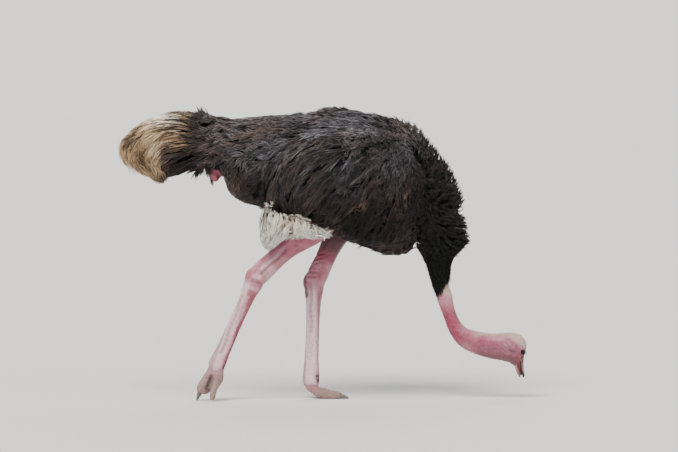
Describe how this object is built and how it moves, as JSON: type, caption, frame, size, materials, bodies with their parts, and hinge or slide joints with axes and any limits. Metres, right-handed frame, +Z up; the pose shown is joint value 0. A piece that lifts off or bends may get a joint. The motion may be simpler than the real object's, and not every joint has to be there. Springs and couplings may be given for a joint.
{
  "type": "ostrich",
  "caption": "Life-size male ostrich that walks with its head down to graze: shaggy dark body, tan tail plumes, white wing plumes, and bare pink neck and legs.",
  "frame": {"origin": "on the floor, under the middle of the overall length and width", "axes": "+X forward, the way the bird faces; +Y to its left; +Z up"},
  "size_m": [1.8311, 0.6216, 1.311],
  "materials": {
    "black_plumage": "loose shaggy black feathers",
    "tan_plumage": "loose tan plumes, paler above",
    "white_plumage": "loose off-white plumes",
    "pink_skin": "bare skin, scaled on the legs and thinly downed on the neck",
    "bill_horn": "smooth horn, darker along the ridge and at the tips",
    "claw_horn": "worn dark horn",
    "eye": "wet and glossy"
  },
  "bodies": {
    "root": {"rump": "black_plumage", "trunk": "black_plumage", "breast": "black_plumage", "neck_hackles": "black_plumage", "neck_sleeve": "black_plumage", "neck_stem": "pink_skin", "neck_bend": "pink_skin", "neck_throat": "pink_skin", "head": "pink_skin", "bill_upper": "bill_horn", "bill_lower": "bill_horn", "eye_left": "eye", "eye_right": "eye", "tail_coverts": "black_plumage", "tail_plumes": "tan_plumage", "vent": "pink_skin", "wing_left": "black_plumage", "wing_right": "black_plumage", "wing_plumes_left": "white_plumage", "wing_plumes_right": "white_plumage", "shin_left": "pink_skin", "shin_right": "pink_skin", "tarsus_left": "pink_skin", "tarsus_right": "pink_skin", "toe_large_left": "pink_skin", "toe_large_right": "pink_skin", "toe_small_left": "pink_skin", "toe_small_right": "pink_skin", "claw_left": "claw_horn", "claw_right": "claw_horn"}
  },
  "joints": []
}
